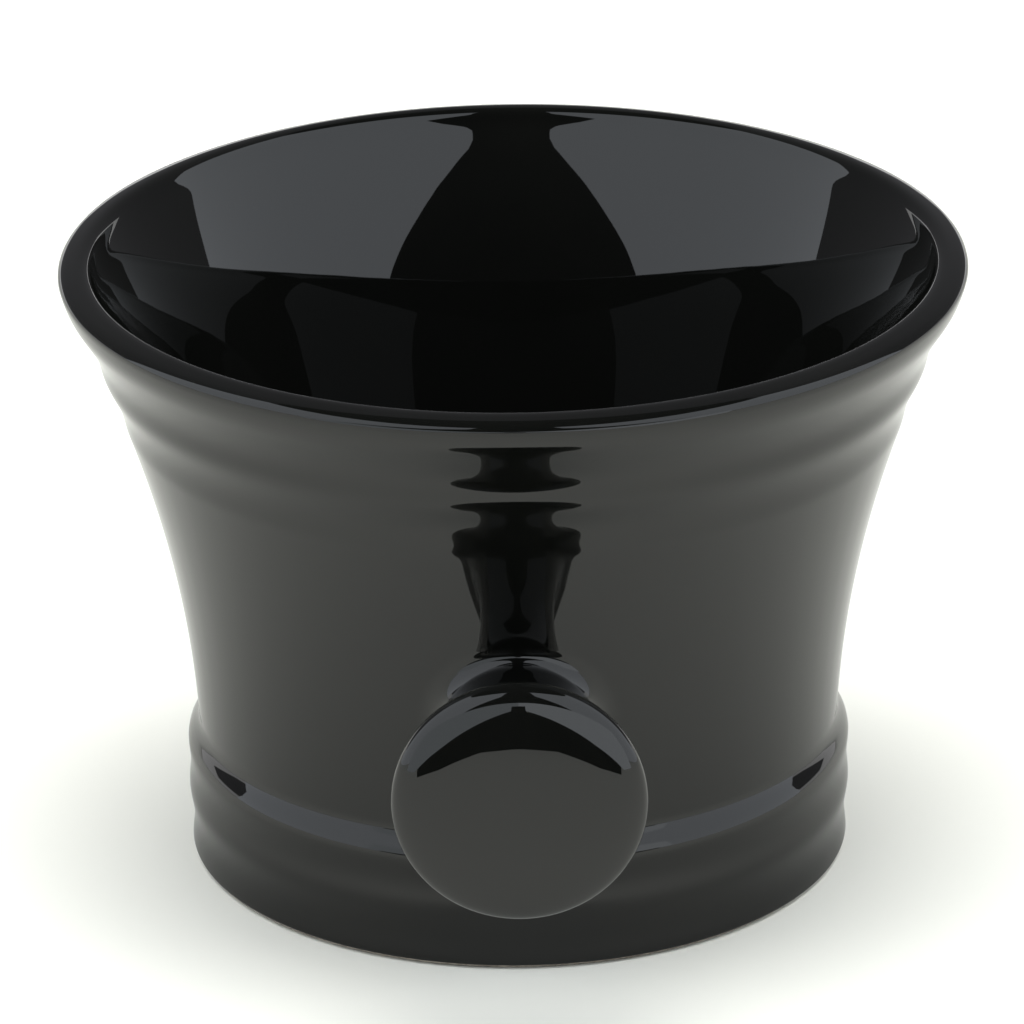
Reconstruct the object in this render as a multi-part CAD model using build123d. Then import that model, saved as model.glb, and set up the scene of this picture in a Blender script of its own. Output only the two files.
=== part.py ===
"""Shaving bowl with a knob handle: glazed ceramic, made as its separate clay, slip and glaze pieces.

Frame: millimetres, +Z up. The origin is on the bowl's axis, in the plane of its foot.
The knob handle points to -Y.

The bowl is a shell with a flared wall, two hollows round its lower band and two more under its
lip. The knob is formed on its own and luted to the wall with slip. Glaze coats lie on the wall
outside, on the wall inside, on the knob, and in the recess underneath. The foot ring is bare
clay, and the bowl stands on it.
"""

import os

import numpy as np
from build123d import *

# --- driving dimensions ---------------------------------------------------------------------
WAIST_RADIUS = 37.4  # the flared wall's smallest radius, hidden behind the lower band
WAIST_Z = 8.8
FLARE = 0.00383  # the wall's radius grows by this, per mm, with the square of the height

BASE_RADIUS = 38.72  # the lower band's radius at the foot
BAND_RADIUS = 38.95  # the lower band's radius at its two crests
BAND_MIDDLE_Z = 7.4  # crest between the band's two hollows
BAND_TOP_Z = 13.2
BAND_LOW_DEPTH = 0.36
BAND_HIGH_DEPTH = 0.20
SHOULDER_Z = 16.4  # where the shoulder over the band meets the flared wall

HOLLOW_LOW_Z = 53.8  # lower end of the lower hollow under the lip
HOLLOW_MIDDLE_Z = 60.8  # crest between the two hollows
ROLL_Z = 67.4  # where the upper hollow turns into the lip's roll
HOLLOW_LOW_DEPTH = 0.30
HOLLOW_HIGH_DEPTH = 0.40
CREST_SOFTNESS = 1.6  # rounds the crests between hollows

LIP_EDGE_Z = 71.6  # height of the lip's widest circle, where the rounding over its top starts
LIP_ROLL = 0.31  # how far the lip's roll stands out of the flared wall

GLAZE = 0.35  # thickness of every glaze coat
GLAZE_END_Z = 0.3  # the outer glaze stops here, over the bare foot
FOOT_ROUNDING = 0.25
FOOT_INNER_RADIUS = 33.6
RECESS_DEPTH = 2.4
RECESS_SLOPE = 0.4  # the recess narrows by this, per mm of its depth

KNOB_Z = 31.3  # height of the knob's axis
HEAD_RADIUS = 14.2
HEAD_DISTANCE = 61.0  # from the bowl's axis to the head's widest circle
BACK_ROUNDING = 3.0  # rounding of the head's edge towards the neck
FACE_RISE = 3.7  # the head's face is half an ellipse that stands this far out
NECK_RADIUS = 6.45
SLIP = 0.5  # thickness of the slip between the handle and the wall

OUTLINE_STEP = 0.25  # the outlines are worked out this finely, then drawn as arcs
LIP_ARCS = 2  # from the lip's edge to its crest
ROLL_ARCS = 2  # from the crest down the first ROLL_RUN of the inside
ROLL_RUN = 3.0
INSIDE_ARCS = 9
KNOB_ARCS = 22
LEAD_IN = (9, 4)  # the lip's curve starts this many outline points back, and takes every fourth of them
BACK_POINTS = 4
BACK_TURN = (-1.2, -0.3)  # the part of the back edge's rounding with points, in radians behind its widest
FACE_POINTS = 10

# --- key points of the finished outlines -------------------------------------------------------
# Over the lip and down the inside of the bowl to its axis: (radius, height).
LIP_TOP = [(52.15, 72.3), (51.1, 72.75), (49.9, 72.98)]
INSIDE = [
    (49.1, 72.75), (48.65, 72.0), (47.5, 70.0), (45.2, 66.0), (42.5, 60.0), (39.35, 50.0),
    (36.7, 40.0), (34.55, 30.0), (32.4, 20.0), (28.6, 12.3), (21.5, 8.3), (11.0, 7.1), (0.0, 6.9),
]
# Along the neck, from inside the wall to the back of the head: (radius, distance from the bowl's axis).
NECK = [
    (11.3, 34.0), (10.3, 36.5), (9.35, 39.0), (8.35, 41.4), (7.35, 44.0), (6.7, 46.8),
    (NECK_RADIUS, 49.5), (6.65, 52.0), (7.4, 54.3), (8.8, 56.3), (10.6, 57.6),
]


def hollow(z, low, high, depth):
    """Depth at height z of a rounded hollow between two heights, with a softened crest at each end."""
    def soft(distance):
        return np.hypot(distance, CREST_SOFTNESS) - CREST_SOFTNESS

    share = soft(max(min(z - low, high - z), 0)) / soft((high - low) / 2)
    return depth * (1 - (1 - share) ** 2)


def wall_radius(z):
    """Finished outside radius of the wall at height z."""
    flared = WAIST_RADIUS + FLARE * (z - WAIST_Z) ** 2
    upper_middle = (HOLLOW_MIDDLE_Z + ROLL_Z) / 2
    if z <= BAND_MIDDLE_Z:
        crests = BASE_RADIUS + (BAND_RADIUS - BASE_RADIUS) * z / BAND_MIDDLE_Z
        return crests - hollow(z, 0, BAND_MIDDLE_Z, BAND_LOW_DEPTH)
    if z <= BAND_TOP_Z:
        return BAND_RADIUS - hollow(z, BAND_MIDDLE_Z, BAND_TOP_Z, BAND_HIGH_DEPTH)
    if z <= SHOULDER_Z:
        fall = (z - BAND_TOP_Z) / (SHOULDER_Z - BAND_TOP_Z)
        return flared + (BAND_RADIUS - flared) * (1 + np.cos(np.pi * fall)) / 2
    if z <= HOLLOW_LOW_Z:
        return flared
    if z <= HOLLOW_MIDDLE_Z:
        return flared - hollow(z, HOLLOW_LOW_Z, HOLLOW_MIDDLE_Z, HOLLOW_LOW_DEPTH)
    if z <= upper_middle:
        return flared - hollow(z, HOLLOW_MIDDLE_Z, ROLL_Z, HOLLOW_HIGH_DEPTH)
    if z <= ROLL_Z:
        rise = (z - upper_middle) / (ROLL_Z - upper_middle)
        return flared - HOLLOW_HIGH_DEPTH * np.cos(np.pi / 2 * rise)
    return flared + LIP_ROLL * np.sin(np.pi * (z - ROLL_Z) / (LIP_EDGE_Z - ROLL_Z))


def smooth(key_points, spacing):
    """Evenly spaced points on the natural cubic spline through the key points."""
    key = np.array(key_points, float)
    run = np.concatenate([[0], np.cumsum(np.linalg.norm(np.diff(key, axis=0), axis=1))])
    gap = np.diff(run)
    last = len(key) - 1
    system = np.eye(last + 1)
    right = np.zeros_like(key)
    for i in range(1, last):
        system[i, i - 1:i + 2] = [gap[i - 1], 2 * (gap[i - 1] + gap[i]), gap[i]]
        right[i] = 6 * ((key[i + 1] - key[i]) / gap[i] - (key[i] - key[i - 1]) / gap[i - 1])
    bend = np.linalg.solve(system, right)
    where = np.linspace(0, run[-1], round(run[-1] / spacing) + 1)
    i = np.clip(np.searchsorted(run, where, side="right") - 1, 0, last - 1)
    a = (run[i + 1] - where)[:, None]
    b = (where - run[i])[:, None]
    h = gap[i][:, None]
    ends = (key[i] / h - bend[i] * h / 6) * a + (key[i + 1] / h - bend[i + 1] * h / 6) * b
    return ends + (bend[i] * a**3 + bend[i + 1] * b**3) / (6 * h)


def bowl_outline():
    """Finished outline from the glaze's end over the foot, over the lip, to the axis: (radius, height).

    With it come the places along it where arcs start, reach their middle and end.
    """
    ends = [
        GLAZE_END_Z, BAND_MIDDLE_Z, BAND_TOP_Z, (BAND_TOP_Z + SHOULDER_Z) / 2, SHOULDER_Z,
        HOLLOW_LOW_Z, HOLLOW_MIDDLE_Z, ROLL_Z, LIP_EDGE_Z,
    ]
    marks = sorted(ends + [(a + b) / 2 for a, b in zip(ends, ends[1:])])
    heights = np.unique(np.concatenate([np.arange(GLAZE_END_Z, LIP_EDGE_Z, OUTLINE_STEP), marks]))
    outside = [(wall_radius(z), z) for z in heights]
    lead, stride = LEAD_IN
    rounded = smooth(outside[-lead::stride] + LIP_TOP + INSIDE, OUTLINE_STEP)
    over = rounded[np.argmax(rounded[:, 1] > LIP_EDGE_Z + OUTLINE_STEP / 2):]
    points = np.concatenate([outside, over])
    crest = int(np.argmax(points[:, 1]))
    roll_end = crest + round(ROLL_RUN / OUTLINE_STEP)
    places = np.concatenate([
        np.searchsorted(heights, marks)[:-1],
        np.linspace(len(heights) - 1, crest, 2 * LIP_ARCS + 1)[:-1],
        np.linspace(crest, roll_end, 2 * ROLL_ARCS + 1)[:-1],
        np.linspace(roll_end, len(points) - 1, 2 * INSIDE_ARCS + 1),
    ])
    return points, places.round().astype(int), crest


def knob_outline():
    """Finished outline of the handle, from inside the wall to the middle of its face: (radius, distance)."""
    back = [
        (HEAD_RADIUS + BACK_ROUNDING * (np.cos(a) - 1), HEAD_DISTANCE + BACK_ROUNDING * np.sin(a))
        for a in np.linspace(*BACK_TURN, BACK_POINTS)
    ]
    face = [
        (HEAD_RADIUS * np.cos(a), HEAD_DISTANCE + FACE_RISE * np.sin(a))
        for a in np.linspace(0, np.pi / 2, FACE_POINTS)
    ]
    points = smooth(NECK + back + face, OUTLINE_STEP)
    return points, np.linspace(0, len(points) - 1, 2 * KNOB_ARCS + 1).round().astype(int)


def inset(points, distance):
    """An outline moved into the clay, which lies on the left of someone who follows it."""
    along = np.gradient(points, axis=0)
    along /= np.linalg.norm(along, axis=1)[:, None]
    moved = points + distance * np.stack([-along[:, 1], along[:, 0]], axis=1)
    moved[-1, 0] = points[-1, 0]
    return moved


def squared(points):
    """An outline whose last arc's middle is moved, so that the arc meets the axis squarely."""
    radius, height = points[-3]
    top = points[-1, 1]
    bend = (radius**2 + (height - top) ** 2) / (2 * (height - top))
    half = np.arcsin(radius / bend) / 2
    middle = (bend * np.sin(half), top + bend * (1 - np.cos(half)))
    return np.array([*points[:-2], middle, points[-1]])


def arcs(points):
    """Arcs end to end, where every second point is an arc's middle."""
    places = [tuple(map(float, p)) for p in points]
    return [ThreePointArc(*places[i:i + 3]) for i in range(0, len(places) - 1, 2)]


def bowl_curve(points):
    """Arcs through (radius, height) points, in the plane y = 0."""
    return arcs(np.insert(points, 1, 0, axis=1))


def spun(edges):
    """The solid that a closed outline in the plane y = 0 makes, turned about the bowl's axis."""
    return revolve(make_face(Wire(edges)), Axis.Z)


def straight(*corners):
    """Straight edges from corner to corner, in the plane y = 0, given as (radius, height)."""
    points = [(float(r), 0, float(z)) for r, z in corners]
    return [Line(a, b) for a, b in zip(points, points[1:])]


def coat(finished, clay):
    """The glaze between two outlines of the bowl with the same ends."""
    first = straight(clay[0], finished[0])
    final = straight(finished[-1], clay[-1])
    return spun(first + bowl_curve(finished) + final + bowl_curve(clay))


def bowl_body(outside, inside):
    """The clay shell: outside and inside clay outlines, a bare foot ring and a recess underneath."""
    foot = outside[0, 0]
    ceiling_z = RECESS_DEPTH + GLAZE
    ceiling_radius = FOOT_INNER_RADIUS - RECESS_SLOPE * ceiling_z
    base = straight(
        (0, inside[-1, 1]), (0, ceiling_z), (ceiling_radius, ceiling_z), (FOOT_INNER_RADIUS, 0),
        (foot - FOOT_ROUNDING, 0),
    )
    corner_middle = (foot - FOOT_ROUNDING * (1 - np.sqrt(0.5)), 0, FOOT_ROUNDING * (1 - np.sqrt(0.5)))
    corner = ThreePointArc((foot - FOOT_ROUNDING, 0, 0), corner_middle, (foot, 0, FOOT_ROUNDING))
    side = straight((foot, FOOT_ROUNDING), outside[0])
    return spun(bowl_curve(outside) + bowl_curve(inside) + base + [corner] + side)


def underside_glaze():
    """The coat on the ceiling of the recess underneath."""
    ceiling_z = RECESS_DEPTH + GLAZE
    low = FOOT_INNER_RADIUS - RECESS_SLOPE * RECESS_DEPTH
    high = FOOT_INNER_RADIUS - RECESS_SLOPE * ceiling_z
    middle = (0, RECESS_DEPTH)
    return spun(straight(middle, (low, RECESS_DEPTH), (high, ceiling_z), (0, ceiling_z), middle))


def wall_core(outline):
    """Everything inside an outline of the wall, over the flared stretch that the handle is joined to."""
    first = int(np.argmin(np.abs(outline[:, 1] - SHOULDER_Z)))
    part = outline[first:first + 3]
    return spun(bowl_curve(part) + straight(part[2], (0, part[2, 1]), (0, part[0, 1]), part[0]))


def turned_knob(outline):
    """The solid inside an outline of the handle, turned about the knob's axis."""
    points = np.array([(r, -d, KNOB_Z) for r, d in outline])
    back = (0, points[0, 1], KNOB_Z)
    edges = arcs(points) + [Line(points[-1], back), Line(back, points[0])]
    return revolve(make_face(Wire(edges)), Axis((0, 0, KNOB_Z), (0, 1, 0)))


def save(shape, name):
    solid = shape.solids()[0]
    solid.label = name
    export_step(solid, f"parts/{name}.step")


def main():
    os.makedirs("parts", exist_ok=True)

    fine, places, crest = bowl_outline()
    finished = squared(fine[places])
    clay = squared(inset(fine, GLAZE)[places])
    slip = inset(fine, GLAZE - SLIP)[places]
    top = int(np.searchsorted(places, crest))
    outside = clay[:top + 1]
    inside = clay[top:]

    fine_knob, knob_places = knob_outline()
    knob = turned_knob(squared(fine_knob[knob_places]))
    knob_clay = turned_knob(squared(inset(fine_knob, GLAZE)[knob_places]))
    wall_clay = wall_core(outside)
    wall_slip = wall_core(slip)

    save(bowl_body(outside, inside), "bowl_body")
    save(knob_clay - wall_slip, "knob_handle")
    save((knob_clay & wall_slip) - wall_clay, "handle_slip_joint")
    save(coat(finished[:top + 1], outside) - knob, "outer_glaze")
    save(coat(finished[top:], inside), "inner_glaze")
    save(knob - knob_clay - wall_clay, "knob_glaze")
    save(underside_glaze(), "underside_glaze")


if __name__ == "__main__":
    main()
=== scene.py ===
"""Shaving bowl with a knob handle: the glaze as finished surfaces round the CAD frame, and a light tent."""

import math

import bpy
import numpy as np
from mathutils import Matrix, Vector


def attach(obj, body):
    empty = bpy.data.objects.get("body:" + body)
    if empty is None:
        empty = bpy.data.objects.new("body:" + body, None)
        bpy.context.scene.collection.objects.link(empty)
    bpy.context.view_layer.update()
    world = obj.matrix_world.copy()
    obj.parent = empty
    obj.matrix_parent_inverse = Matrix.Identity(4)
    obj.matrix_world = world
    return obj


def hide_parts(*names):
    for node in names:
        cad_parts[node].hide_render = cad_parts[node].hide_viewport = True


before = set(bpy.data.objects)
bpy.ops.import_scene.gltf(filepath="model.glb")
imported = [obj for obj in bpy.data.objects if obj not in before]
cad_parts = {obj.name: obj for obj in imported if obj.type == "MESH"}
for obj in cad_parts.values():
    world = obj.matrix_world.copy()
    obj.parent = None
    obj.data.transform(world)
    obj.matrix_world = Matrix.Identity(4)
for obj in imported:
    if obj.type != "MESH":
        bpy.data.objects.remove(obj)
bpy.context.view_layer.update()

# --- the bowl's driving dimensions, in millimetres, as the CAD has them ---------------------------
WAIST_RADIUS = 37.4
WAIST_Z = 8.8
FLARE = 0.00383
BASE_RADIUS = 38.72
BAND_RADIUS = 38.95
BAND_MIDDLE_Z = 7.4
BAND_TOP_Z = 13.2
BAND_LOW_DEPTH = 0.36
BAND_HIGH_DEPTH = 0.20
SHOULDER_Z = 16.4
HOLLOW_LOW_Z = 53.8
HOLLOW_MIDDLE_Z = 60.8
ROLL_Z = 67.4
HOLLOW_LOW_DEPTH = 0.30
HOLLOW_HIGH_DEPTH = 0.40
CREST_SOFTNESS = 1.6
LIP_EDGE_Z = 71.6
LIP_ROLL = 0.31
GLAZE = 0.35
GLAZE_END_Z = 0.3
KNOB_Z = 31.3
HEAD_RADIUS = 14.2
HEAD_DISTANCE = 61.0
BACK_ROUNDING = 3.0
FACE_RISE = 3.7
NECK_RADIUS = 6.45
LIP_TOP = [(52.15, 72.3), (51.1, 72.75), (49.9, 72.98)]
INSIDE = [
    (49.1, 72.75), (48.65, 72.0), (47.5, 70.0), (45.2, 66.0), (42.5, 60.0), (39.35, 50.0),
    (36.7, 40.0), (34.55, 30.0), (32.4, 20.0), (28.6, 12.3), (21.5, 8.3), (11.0, 7.1), (0.0, 6.9),
]
NECK = [
    (11.3, 34.0), (10.3, 36.5), (9.35, 39.0), (8.35, 41.4), (7.35, 44.0), (6.7, 46.8),
    (NECK_RADIUS, 49.5), (6.65, 52.0), (7.4, 54.3), (8.8, 56.3), (10.6, 57.6),
]

# --- how finely the glaze is modelled -------------------------------------------------------------
SEGMENTS = 288
HALF_HOLE = 14.0  # half the side of the square round the neck that the knob's mesh fills
FILLET = 1.8  # reach of the glaze fillet between the neck and the wall
WALL_RINGS = 16
FREE_FROM = 46.0  # from this distance outward the knob is a plain turned shape
HEAD_STARTS = 53.0  # the neck's thinnest place is nearer to the bowl's axis than this
WALL_ROWS = 131
FOOT_STEPS = 6
INSIDE_SPACING = 0.5
KNOB_SPACING = 0.35
LEAD_IN = 3  # points of the wall that lead the curve into the lip
BACK_POINTS = 4
BACK_TURN = (-1.2, -0.3)  # the part of the back edge's rounding with points, in radians behind its widest
FACE_POINTS = 25
NECK_STEPS = 20
RING_SPREAD = 0.8  # under 1, the rings on the wall lie closer together towards the neck
FIRST_CREASE = 9.3  # a first guess at the neck's radius where it meets the wall
CREASE_ROUNDS = 30
SETTLE_ROUNDS = 12
SLOPE_STEP = 0.05
GRADIENT_STEP = 0.02
MM = 0.001


def hollow(z, low, high, depth):
    """Depth at height z of a rounded hollow between two heights, with a softened crest at each end."""
    def soft(distance):
        return np.hypot(distance, CREST_SOFTNESS) - CREST_SOFTNESS

    inside = np.clip(np.minimum(z - low, high - z), 0, None)
    return depth * (1 - (1 - soft(inside) / soft((high - low) / 2)) ** 2)


def wall_radius(z):
    """Finished outside radius of the wall at heights z."""
    z = np.asarray(z, float)
    flared = WAIST_RADIUS + FLARE * (z - WAIST_Z) ** 2
    upper_middle = (HOLLOW_MIDDLE_Z + ROLL_Z) / 2
    crests = BASE_RADIUS + (BAND_RADIUS - BASE_RADIUS) * z / BAND_MIDDLE_Z
    fall = (z - BAND_TOP_Z) / (SHOULDER_Z - BAND_TOP_Z)
    rise = (z - upper_middle) / (ROLL_Z - upper_middle)
    roll = np.sin(np.pi * np.clip((z - ROLL_Z) / (LIP_EDGE_Z - ROLL_Z), 0, 1))
    return np.select(
        [z <= BAND_MIDDLE_Z, z <= BAND_TOP_Z, z <= SHOULDER_Z, z <= HOLLOW_LOW_Z,
         z <= HOLLOW_MIDDLE_Z, z <= upper_middle, z <= ROLL_Z],
        [crests - hollow(z, 0, BAND_MIDDLE_Z, BAND_LOW_DEPTH),
         BAND_RADIUS - hollow(z, BAND_MIDDLE_Z, BAND_TOP_Z, BAND_HIGH_DEPTH),
         flared + (BAND_RADIUS - flared) * (1 + np.cos(np.pi * fall)) / 2,
         flared,
         flared - hollow(z, HOLLOW_LOW_Z, HOLLOW_MIDDLE_Z, HOLLOW_LOW_DEPTH),
         flared - hollow(z, HOLLOW_MIDDLE_Z, ROLL_Z, HOLLOW_HIGH_DEPTH),
         flared - HOLLOW_HIGH_DEPTH * np.cos(np.pi / 2 * rise)],
        flared + LIP_ROLL * roll,
    )


def smooth(key_points, spacing):
    """Evenly spaced points on the natural cubic spline through the key points."""
    key = np.array(key_points, float)
    run = np.concatenate([[0], np.cumsum(np.linalg.norm(np.diff(key, axis=0), axis=1))])
    gap = np.diff(run)
    last = len(key) - 1
    system = np.eye(last + 1)
    right = np.zeros_like(key)
    for i in range(1, last):
        system[i, i - 1:i + 2] = [gap[i - 1], 2 * (gap[i - 1] + gap[i]), gap[i]]
        right[i] = 6 * ((key[i + 1] - key[i]) / gap[i] - (key[i] - key[i - 1]) / gap[i - 1])
    bend = np.linalg.solve(system, right)
    where = np.linspace(0, run[-1], round(run[-1] / spacing) + 1)
    i = np.clip(np.searchsorted(run, where, side="right") - 1, 0, last - 1)
    a = (run[i + 1] - where)[:, None]
    b = (where - run[i])[:, None]
    h = gap[i][:, None]
    ends = (key[i] / h - bend[i] * h / 6) * a + (key[i + 1] / h - bend[i + 1] * h / 6) * b
    return ends + (bend[i] * a**3 + bend[i + 1] * b**3) / (6 * h)


def bowl_outline():
    """From the rounded end of the glaze over the foot, over the lip, to the axis: (radius, height)."""
    heights = np.linspace(GLAZE_END_Z + GLAZE, LIP_EDGE_Z, WALL_ROWS)
    outside = np.stack([wall_radius(heights), heights], axis=1)
    turn = np.linspace(0, np.pi / 2, FOOT_STEPS)[:-1]
    foot = outside[0] + GLAZE * np.stack([np.sin(turn) - 1, -np.cos(turn)], axis=1)
    rounded = smooth([tuple(p) for p in outside[-LEAD_IN:]] + LIP_TOP + INSIDE, INSIDE_SPACING)
    clear_of_edge = LIP_EDGE_Z + 0.4 * INSIDE_SPACING
    over = rounded[np.argmax(rounded[:, 1] > clear_of_edge):]
    over[-1, 0] = 0
    return np.concatenate([foot, outside, over])


def knob_outline():
    """From inside the wall to the middle of the head's face: (radius, distance from the bowl's axis)."""
    back = [
        (HEAD_RADIUS - BACK_ROUNDING * (1 - math.cos(a)), HEAD_DISTANCE + BACK_ROUNDING * math.sin(a))
        for a in np.linspace(*BACK_TURN, BACK_POINTS)
    ]
    face = [
        (HEAD_RADIUS * math.cos(a), HEAD_DISTANCE + FACE_RISE * math.sin(a))
        for a in np.linspace(0, np.pi / 2, FACE_POINTS)
    ]
    points = smooth(NECK + back + face, KNOB_SPACING)
    points[-1, 0] = 0
    return points


def outline_normals(outline):
    """Outward normals of an outline that keeps the clay on its left."""
    along = np.gradient(outline, axis=0)
    along /= np.linalg.norm(along, axis=1)[:, None]
    return np.stack([along[:, 1], -along[:, 0]], axis=1)


class Surface:
    """Points with normals, and faces of three or four of them, wound outward."""

    def __init__(self):
        self.points = []
        self.normals = []
        self.count = 0

    def add(self, points, normals):
        """Adds an array of points, and returns their numbers in the same layout."""
        flat = points.reshape(-1, 3)
        self.points.append(flat)
        self.normals.append(normals.reshape(-1, 3))
        numbers = np.arange(self.count, self.count + len(flat)).reshape(points.shape[:-1])
        self.count += len(flat)
        return numbers


def quads(lower, upper, closed):
    """Faces between two rows of point numbers that run the same way."""
    if closed:
        lower, upper = np.append(lower, lower[0]), np.append(upper, upper[0])
    return np.stack([lower[:-1], lower[1:], upper[1:], upper[:-1]], axis=1).tolist()


def fan(row, tip):
    """Faces between a closed row and one point."""
    return [(a, b, tip) for a, b in zip(row.tolist(), np.roll(row, -1).tolist())]


def turned(outline, angles):
    """The points and normals of an outline turned about the bowl's axis; angle 0 points to -Y."""
    normals = outline_normals(outline)
    sine, cosine = np.sin(angles), -np.cos(angles)

    def spin(pairs):
        flat = np.ones_like(angles)[None, :]
        return np.stack([pairs[:, :1] * sine, pairs[:, :1] * cosine, pairs[:, 1:] * flat], axis=2)

    return spin(outline), spin(normals)


def neck_radius(distance, knob):
    """The neck's radius at distances from the bowl's axis, up to its thinnest place."""
    thinnest = int(np.argmin(np.where(knob[:, 1] < HEAD_STARTS, knob[:, 0], np.inf)))
    return np.interp(distance, knob[:thinnest + 1, 1], knob[:thinnest + 1, 0])


def blended(points, knob):
    """Signed distance, roughly, from the wall and the neck run together by the fillet."""
    x, y, z = points[..., 0], points[..., 1], points[..., 2]
    step = SLOPE_STEP
    slope = (wall_radius(z + step) - wall_radius(z - step)) / (2 * step)
    wall = (np.hypot(x, y) - wall_radius(z)) / np.sqrt(1 + slope**2)
    slope = (neck_radius(-y + step, knob) - neck_radius(-y - step, knob)) / (2 * step)
    neck = (np.hypot(x, z - KNOB_Z) - neck_radius(-y, knob)) / np.sqrt(1 + slope**2)
    reach = np.clip(FILLET - np.abs(wall - neck), 0, None) / FILLET
    return np.minimum(wall, neck) - reach**2 * FILLET / 4


def gradient(points, knob):
    """Direction in which the blended distance grows."""
    step = GRADIENT_STEP
    parts = [
        (blended(points + step * axis, knob) - blended(points - step * axis, knob)) / (2 * step)
        for axis in np.eye(3)
    ]
    return np.stack(parts, axis=-1)


def settled(points, knob):
    """Points moved onto the blended surface."""
    for _ in range(SETTLE_ROUNDS):
        slope = gradient(points, knob)
        share = blended(points, knob) / (slope**2).sum(axis=-1)
        points = points - share[..., None] * slope
    return points


def on_wall(radius, turn):
    """Points of the wall at a radius and turn about the knob's axis."""
    x = radius * np.sin(turn)
    z = KNOB_Z + radius * np.cos(turn)
    return np.stack([x, -np.sqrt(wall_radius(z) ** 2 - x**2), z], axis=-1)


def glaze_surface():
    """The whole glaze over the wall, the lip, the inside and the knob, as one surface in three parts."""
    surface = Surface()
    outline = bowl_outline()
    crest = int(np.argmax(outline[:, 1]))
    angles = np.arange(SEGMENTS) * 2 * np.pi / SEGMENTS
    points, normals = turned(outline[:-1], angles)
    grid = surface.add(points, normals)
    axis_point = surface.add(np.array([[0.0, 0.0, outline[-1, 1]]]), np.array([[0.0, 0.0, 1.0]]))[0]

    columns = round(HALF_HOLE / float(wall_radius(KNOB_Z)) / (2 * np.pi / SEGMENTS))
    low = int(np.argmin(np.abs(outline[:crest, 1] - (KNOB_Z - HALF_HOLE))))
    high = int(np.argmin(np.abs(outline[:crest, 1] - (KNOB_Z + HALF_HOLE))))
    across = [c % SEGMENTS for c in range(-columns, columns + 1)]
    in_hole = set(range(-columns, columns)) | {c + SEGMENTS for c in range(-columns, columns)}
    outer = []
    inner = []
    for row in range(len(grid) - 1):
        faces = quads(grid[row], grid[row + 1], closed=True)
        if low <= row < high:
            faces = [face for column, face in enumerate(faces) if column not in in_hole]
        (outer if row < crest else inner).extend(faces)
    inner += fan(grid[-1], axis_point)

    # Round the hole's edge, so that faces from it inward to the neck are wound outward.
    edge = [grid[low, c] for c in across[:-1]]
    edge += [grid[r, across[-1]] for r in range(low, high)]
    edge += [grid[high, c] for c in across[:0:-1]]
    edge += [grid[r, across[0]] for r in range(high, low, -1)]
    edge = np.array(edge)

    knob = knob_outline()
    rim = np.concatenate(surface.points)[edge]
    turn = np.arctan2(rim[:, 0], rim[:, 2] - KNOB_Z)
    rim_radius = np.hypot(rim[:, 0], rim[:, 2] - KNOB_Z)
    crease = np.full_like(turn, FIRST_CREASE)
    for _ in range(CREASE_ROUNDS):
        crease = neck_radius(-on_wall(crease, turn)[:, 1], knob)
    share = np.linspace(0, 1, WALL_RINGS + 1)[1:, None] ** RING_SPREAD
    wall_part = on_wall(rim_radius + (crease - rim_radius) * share, turn)
    wall_part = settled(wall_part, knob)
    wall_rings = surface.add(wall_part, gradient(wall_part, knob))

    start = -on_wall(crease, turn)[:, 1]
    free = knob[int(np.argmax(knob[:, 1] > FREE_FROM)):]
    share = np.linspace(0, 1, NECK_STEPS)[1:-1, None]
    distance = start + (free[0, 1] - start) * share
    radius = neck_radius(distance, knob)
    neck_part = np.stack([radius * np.sin(turn), -distance, KNOB_Z + radius * np.cos(turn)], axis=-1)
    neck_part = settled(neck_part, knob)
    neck_rings = surface.add(neck_part, gradient(neck_part, knob))

    normals = outline_normals(free)
    ones = np.ones_like(turn)[None, :]
    out, along = free[:-1, :1], free[:-1, 1:]
    head = np.stack([out * np.sin(turn), -along * ones, KNOB_Z + out * np.cos(turn)], axis=-1)
    out, along = normals[:-1, :1], normals[:-1, 1:]
    head_normals = np.stack([out * np.sin(turn), -along * ones, out * np.cos(turn)], axis=-1)
    head_rings = surface.add(head, head_normals)
    tip = surface.add(np.array([[0.0, -free[-1, 1], KNOB_Z]]), np.array([[0.0, -1.0, 0.0]]))[0]

    rings = [edge] + list(wall_rings)
    for below, above in zip(rings, rings[1:]):
        outer += quads(below, above, closed=True)
    handle = []
    rings = [wall_rings[-1]] + list(neck_rings) + list(head_rings)
    for below, above in zip(rings, rings[1:]):
        handle += quads(below, above, closed=True)
    handle += fan(rings[-1], tip)
    return surface, {"outer_coat": outer, "inner_coat": inner, "knob_coat": handle}


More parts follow.
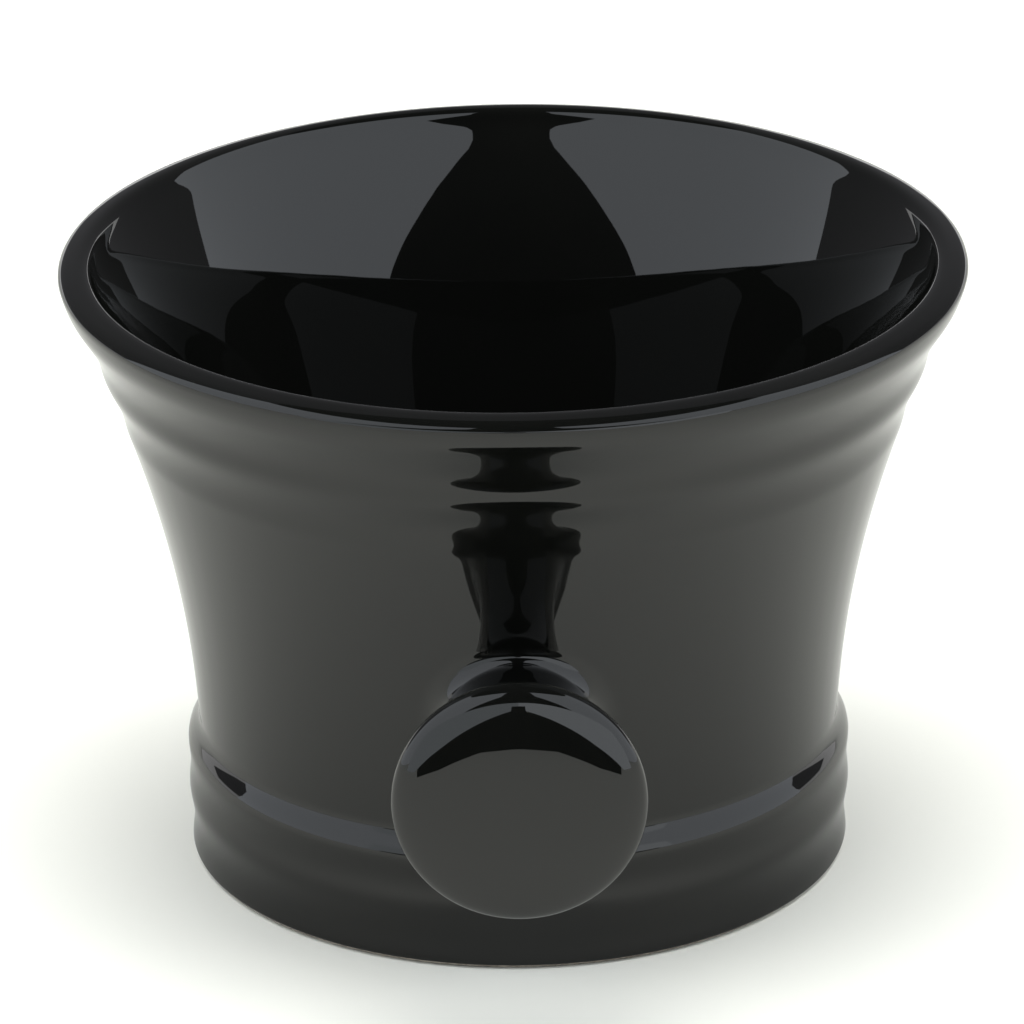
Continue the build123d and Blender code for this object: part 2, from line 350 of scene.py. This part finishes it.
def add_coat(name, surface_points, surface_normals, faces, material):
    """A closed coat of glaze: the surface's faces, the same faces on the clay, and the edges between."""
    used = np.unique(np.concatenate([np.array(f) for f in faces]))
    place = {number: i for i, number in enumerate(used.tolist())}
    outside = surface_points[used]
    normals = surface_normals[used] / np.linalg.norm(surface_normals[used], axis=1)[:, None]
    clay = outside - GLAZE * normals
    faces = [tuple(place[n] for n in face) for face in faces]
    size = len(used)
    sides = set()
    for face in faces:
        sides.update(zip(face, face[1:] + face[:1]))
    open_sides = [side for side in sides if side[::-1] not in sides]
    backs = [tuple(n + size for n in reversed(face)) for face in faces]
    edges = [(b, a, a + size, b + size) for a, b in sorted(open_sides)]
    mesh = bpy.data.meshes.new(name)
    mesh.from_pydata((np.concatenate([outside, clay]) * MM).tolist(), [], faces + backs + edges)
    mesh.polygons.foreach_set("use_smooth", [True] * len(mesh.polygons))
    corners = []
    for face in faces + backs:
        corners += [normals[n] if n < size else -normals[n - size] for n in face]
    for polygon in mesh.polygons[len(faces + backs):]:
        corners += [polygon.normal.copy()] * len(polygon.vertices)
    mesh.normals_split_custom_set([tuple(n) for n in corners])
    mesh.materials.append(material)
    piece = bpy.data.objects.new(name, mesh)
    bpy.context.scene.collection.objects.link(piece)
    return piece


# --- materials --------------------------------------------------------------------------------------
def new_material(name):
    """A material with its nodes, its links and its shader."""
    material = bpy.data.materials.new(name)
    material.use_nodes = True
    nodes = material.node_tree.nodes
    return material, nodes, material.node_tree.links, nodes["Principled BSDF"]


def black_glaze():
    """Deep black gloss glaze, with a faint drift of its tone and a faint pull of its surface."""
    material, nodes, links, shader = new_material("black_glaze")
    shader.inputs["Roughness"].default_value = 0.02
    shader.inputs["IOR"].default_value = 1.5
    place = nodes.new("ShaderNodeTexCoord").outputs["Object"]

    tint = nodes.new("ShaderNodeTexNoise")
    tint.inputs["Scale"].default_value = 60.0
    tint.inputs["Detail"].default_value = 4.0
    links.new(place, tint.inputs["Vector"])
    colour = nodes.new("ShaderNodeValToRGB")
    colour.color_ramp.elements[0].color = (0.0022, 0.0024, 0.0022, 1)
    colour.color_ramp.elements[1].color = (0.0042, 0.0044, 0.0038, 1)
    links.new(tint.outputs["Fac"], colour.inputs["Fac"])
    links.new(colour.outputs["Color"], shader.inputs["Base Color"])

    pull = nodes.new("ShaderNodeTexNoise")
    pull.inputs["Scale"].default_value = 95.0
    pull.inputs["Detail"].default_value = 2.0
    links.new(place, pull.inputs["Vector"])
    bump = nodes.new("ShaderNodeBump")
    bump.inputs["Strength"].default_value = 1.0
    bump.inputs["Distance"].default_value = 0.00001
    links.new(pull.outputs["Fac"], bump.inputs["Height"])
    links.new(bump.outputs["Normal"], shader.inputs["Normal"])
    return material


def bare_clay():
    """Fired stoneware with no glaze: matt, warm grey, with fine dark and light grains."""
    material, nodes, links, shader = new_material("bare_clay")
    shader.inputs["Roughness"].default_value = 0.85
    place = nodes.new("ShaderNodeTexCoord").outputs["Object"]
    grain = nodes.new("ShaderNodeTexNoise")
    grain.inputs["Scale"].default_value = 1400.0
    grain.inputs["Detail"].default_value = 6.0
    links.new(place, grain.inputs["Vector"])
    colour = nodes.new("ShaderNodeValToRGB")
    colour.color_ramp.elements[0].position = 0.35
    colour.color_ramp.elements[0].color = (0.24, 0.205, 0.17, 1)
    colour.color_ramp.elements[1].position = 0.65
    colour.color_ramp.elements[1].color = (0.46, 0.41, 0.35, 1)
    links.new(grain.outputs["Fac"], colour.inputs["Fac"])
    links.new(colour.outputs["Color"], shader.inputs["Base Color"])
    bump = nodes.new("ShaderNodeBump")
    bump.inputs["Distance"].default_value = 0.00004
    links.new(grain.outputs["Fac"], bump.inputs["Height"])
    links.new(bump.outputs["Normal"], shader.inputs["Normal"])
    return material


def assign(node, material):
    """Puts a material in every slot of a CAD node."""
    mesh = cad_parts[node].data
    if not mesh.materials:
        mesh.materials.append(material)
    for i in range(len(mesh.materials)):
        mesh.materials[i] = material


# --- the studio, in metres and degrees: azimuth 0 is the camera's side ------------------------------
TENT_RADIUS = 1.3
TENT_ROWS, TENT_COLUMNS = 25, 33
SURROUND_RADIUS = 4.0
SURROUND_ROWS, SURROUND_COLUMNS = 24, 48
SIDE_LIGHT = (1.42, 1.50, 1.60)
BACK_LIGHT = (0.14, 0.14, 0.15)
BACK_LOW_LIGHT = (1.2, 1.2, 1.2)
BACK_LOW_END = 6.0
TENT_LOW = -1.0
TENT_HIGH = 60.0
BACK_HIGH = 62.0
SIDE_END = 107.0
# How far the opening in front reaches to each side, at elevations.
OPENING = [(-1.0, 47.0), (11.0, 44.0), (35.0, 24.0), (46.0, 13.0), (62.0, 13.0)]
# A low reflector card in front of the knob: its lower edge, as (distance to the side, height).
CARD_Y = -0.14
CARD_TOP = 0.090
CARD_EDGE = [(0.15, 0.02), (0.09, 0.02), (0.05, 0.04), (0.005, 0.07), (0.005, 0.08), (0.0, 0.08)]
CARD_LEFT_LIGHT = (1.25, 1.35, 1.42)
CARD_RIGHT_LIGHT = (1.8, 1.9, 2.0)
FLOOR_REACH = 1.25
FLOOR_DROP = 0.0001  # the floor that the camera sees is this far under the one that reflections see
# Front edge of the floor that reflections see, on one side: (distance to the side, distance to the front).
# A tongue of white reaches forward in the middle, with a dark wedge on each side of it.
FLOOR_EDGE = [(1.25, 1.25), (0.13, 0.2), (0.1, 0.25), (0.08, 0.45), (0.0, 0.5)]
FLOOR_COLOUR = (0.88, 0.88, 0.81)
# Painted shade: the floor that only reflections see has the floor's tint made darker, so the floor looks
# shaded in the glaze.
SHADED_REFLECTED_FLOOR_COLOUR = (0.62, 0.62, 0.57)
LAMP_SIZE = 1.6
LAMP_ENERGY = 50.0
LAMP_PLACE = (0, 0.35, 1.35)
ROOM_LIGHT = (0.02, 0.02, 0.02)
# The camera: where it is, how far it looks down, and its small turn about its own line of sight.
EYE = (-0.00045, -0.86294, 0.40055)
LOOKS_DOWN = math.radians(22.649)
EYE_ROLL = 0.0121
LENS = 281.25


def glowing(name, colour):
    """A material that only sends out light."""
    material = bpy.data.materials.new(name)
    material.use_nodes = True
    nodes = material.node_tree.nodes
    nodes.clear()
    light = nodes.new("ShaderNodeEmission")
    light.inputs["Color"].default_value = (*colour, 1)
    result = nodes.new("ShaderNodeOutputMaterial")
    material.node_tree.links.new(light.outputs["Emission"], result.inputs["Surface"])
    return material


def matt(name, colour):
    """A pale matt material for the floor."""
    material, _, _, shader = new_material(name)
    shader.inputs["Base Color"].default_value = (*colour, 1)
    shader.inputs["Roughness"].default_value = 0.9
    shader.inputs["Specular IOR Level"].default_value = 0.1
    return material


def stage_mesh(name, points, faces, material):
    """A mesh of the studio, which isn't part of the object."""
    mesh = bpy.data.meshes.new(name)
    mesh.from_pydata([tuple(map(float, p)) for p in points], [], faces)
    mesh.materials.append(material)
    item = bpy.data.objects.new(name, mesh)
    bpy.context.scene.collection.objects.link(item)
    return item


def tent_part(name, start, end, low, high, material):
    """A part of the tent between two azimuths, which may be functions of elevation."""
    elevations = np.linspace(low, high, TENT_ROWS)
    shares = np.linspace(0, 1, TENT_COLUMNS)
    points = []
    for elevation in elevations:
        a, b = start(elevation), end(elevation)
        for azimuth in np.radians(a + (b - a) * shares):
            e = math.radians(elevation)
            points.append((
                TENT_RADIUS * math.cos(e) * math.sin(azimuth),
                -TENT_RADIUS * math.cos(e) * math.cos(azimuth),
                TENT_RADIUS * math.sin(e),
            ))
    width = len(shares)
    faces = [
        (r * width + c, r * width + c + 1, (r + 1) * width + c + 1, (r + 1) * width + c)
        for r in range(len(elevations) - 1) for c in range(width - 1)
    ]
    item = stage_mesh(name, points, faces, material)
    item.visible_camera = False
    return item


def reflector_card(name, side, material):
    """Half of the low card, on one side of the middle; only reflections show it."""
    points, faces = [], []
    for x, z in CARD_EDGE:
        points += [(side * x, CARD_Y, z), (side * x, CARD_Y, CARD_TOP)]
    for i in range(len(CARD_EDGE) - 1):
        faces.append((2 * i, 2 * i + 2, 2 * i + 3, 2 * i + 1))
    card = stage_mesh(name, points, faces, material)
    card.visible_camera = False
    card.visible_diffuse = False
    card.visible_shadow = False


def build_studio():
    """The light tent, the reflector card, the floor, the white surround, the lamp and the room."""
    build_tent()
    reflector_card("card_right", 1, glowing("card_right", CARD_RIGHT_LIGHT))
    reflector_card("card_left", -1, glowing("card_left", CARD_LEFT_LIGHT))
    build_floor()

    dome = stage_mesh("surround", *dome_mesh(SURROUND_RADIUS), glowing("surround_white", (1.0, 1.0, 1.0)))
    dome.visible_glossy = False
    dome.visible_diffuse = False
    dome.visible_shadow = False

    light = bpy.data.lights.new("overhead", "AREA")
    light.shape = "SQUARE"
    light.size = LAMP_SIZE
    light.energy = LAMP_ENERGY
    lamp = bpy.data.objects.new("overhead", light)
    lamp.location = LAMP_PLACE
    lamp.visible_glossy = False
    bpy.context.scene.collection.objects.link(lamp)

    world = bpy.data.worlds.new("dark_room")
    world.use_nodes = True
    world.node_tree.nodes["Background"].inputs["Color"].default_value = (*ROOM_LIGHT, 1)
    bpy.context.scene.world = world


def build_tent():
    """The tent's glowing sides, with an opening in front, and its dim back over a bright low edge."""
    def opening(elevation):
        return float(np.interp(elevation, *zip(*OPENING)))

    side = glowing("tent_side", SIDE_LIGHT)
    tent_part("tent_right", opening, lambda e: SIDE_END, TENT_LOW, TENT_HIGH, side)
    tent_part("tent_left", lambda e: -SIDE_END, lambda e: -opening(e), TENT_LOW, TENT_HIGH, side)
    back = glowing("tent_back", BACK_LIGHT)
    tent_part("tent_back", lambda e: SIDE_END, lambda e: 360 - SIDE_END, BACK_LOW_END, BACK_HIGH, back)
    low = glowing("tent_back_low", BACK_LOW_LIGHT)
    tent_part("tent_back_low", lambda e: SIDE_END, lambda e: 360 - SIDE_END, TENT_LOW, BACK_LOW_END, low)


def build_floor():
    """The floor that the camera sees, and just over it the one that only reflections see, which has a
    darker copy of the floor's colour as painted shade.
    """
    r = FLOOR_REACH
    corners = [(x, y, -FLOOR_DROP) for x, y in ((-r, -r), (r, -r), (r, r), (-r, r))]
    floor = stage_mesh("floor", corners, [(0, 1, 2, 3)], matt("floor_white", FLOOR_COLOUR))
    floor.visible_glossy = False
    edge = [(x, -y, 0) for x, y in FLOOR_EDGE]
    edge += [(-x, y, z) for x, y, z in reversed(edge[:-1])]
    rim = [(0, 0, 0), (r, r, 0)] + edge + [(-r, r, 0)]
    faces = [(0, i + 1, i) for i in range(1, len(rim) - 1)] + [(0, 1, len(rim) - 1)]
    # Painted shade: this floor's colour is darker than that of the floor the camera sees.
    reflected = stage_mesh("floor_reflected", rim, faces, matt("floor_in_gloss_shaded", SHADED_REFLECTED_FLOOR_COLOUR))
    reflected.visible_camera = False
    reflected.visible_diffuse = False
    reflected.visible_shadow = False


def dome_mesh(radius):
    """Points and faces of a sphere round the whole studio."""
    rows, columns = SURROUND_ROWS, SURROUND_COLUMNS
    points = []
    for r in range(rows + 1):
        e = math.pi * (r / rows - 0.5)
        for c in range(columns):
            a = 2 * math.pi * c / columns
            level = radius * math.cos(e)
            points.append((level * math.cos(a), level * math.sin(a), radius * math.sin(e)))
    faces = [
        (r * columns + c, r * columns + (c + 1) % columns,
         (r + 1) * columns + (c + 1) % columns, (r + 1) * columns + c)
        for r in range(rows) for c in range(columns)
    ]
    return points, faces


def build_camera():
    """The camera: a long lens in front of the bowl and above it, with no depth of field."""
    camera = bpy.data.cameras.new("camera")
    camera.sensor_width = 36.0
    camera.lens = LENS
    camera.clip_start = 0.05
    camera.clip_end = 20.0
    eye = bpy.data.objects.new("camera", camera)
    eye.matrix_world = (
        Matrix.Translation(Vector(EYE))
        @ Matrix.Rotation(math.pi / 2 - LOOKS_DOWN, 4, "X") @ Matrix.Rotation(-EYE_ROLL, 4, "Z")
    )
    bpy.context.scene.collection.objects.link(eye)
    bpy.context.scene.camera = eye


def main():
    bpy.context.scene.view_settings.view_transform = "Standard"
    build_camera()
    build_studio()
    glaze = black_glaze()
    clay = bare_clay()
    surface, parts = glaze_surface()
    points = np.concatenate(surface.points)
    normals = np.concatenate(surface.normals)
    stands_for = {"outer_coat": "outer_glaze", "inner_coat": "inner_glaze", "knob_coat": "knob_glaze"}
    for name, faces in parts.items():
        piece = add_coat(name, points, normals, faces, glaze)
        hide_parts(stands_for[name])
        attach(piece, "root")
    for node in ("bowl_body", "knob_handle", "handle_slip_joint"):
        assign(node, clay)
    assign("underside_glaze", glaze)


main()
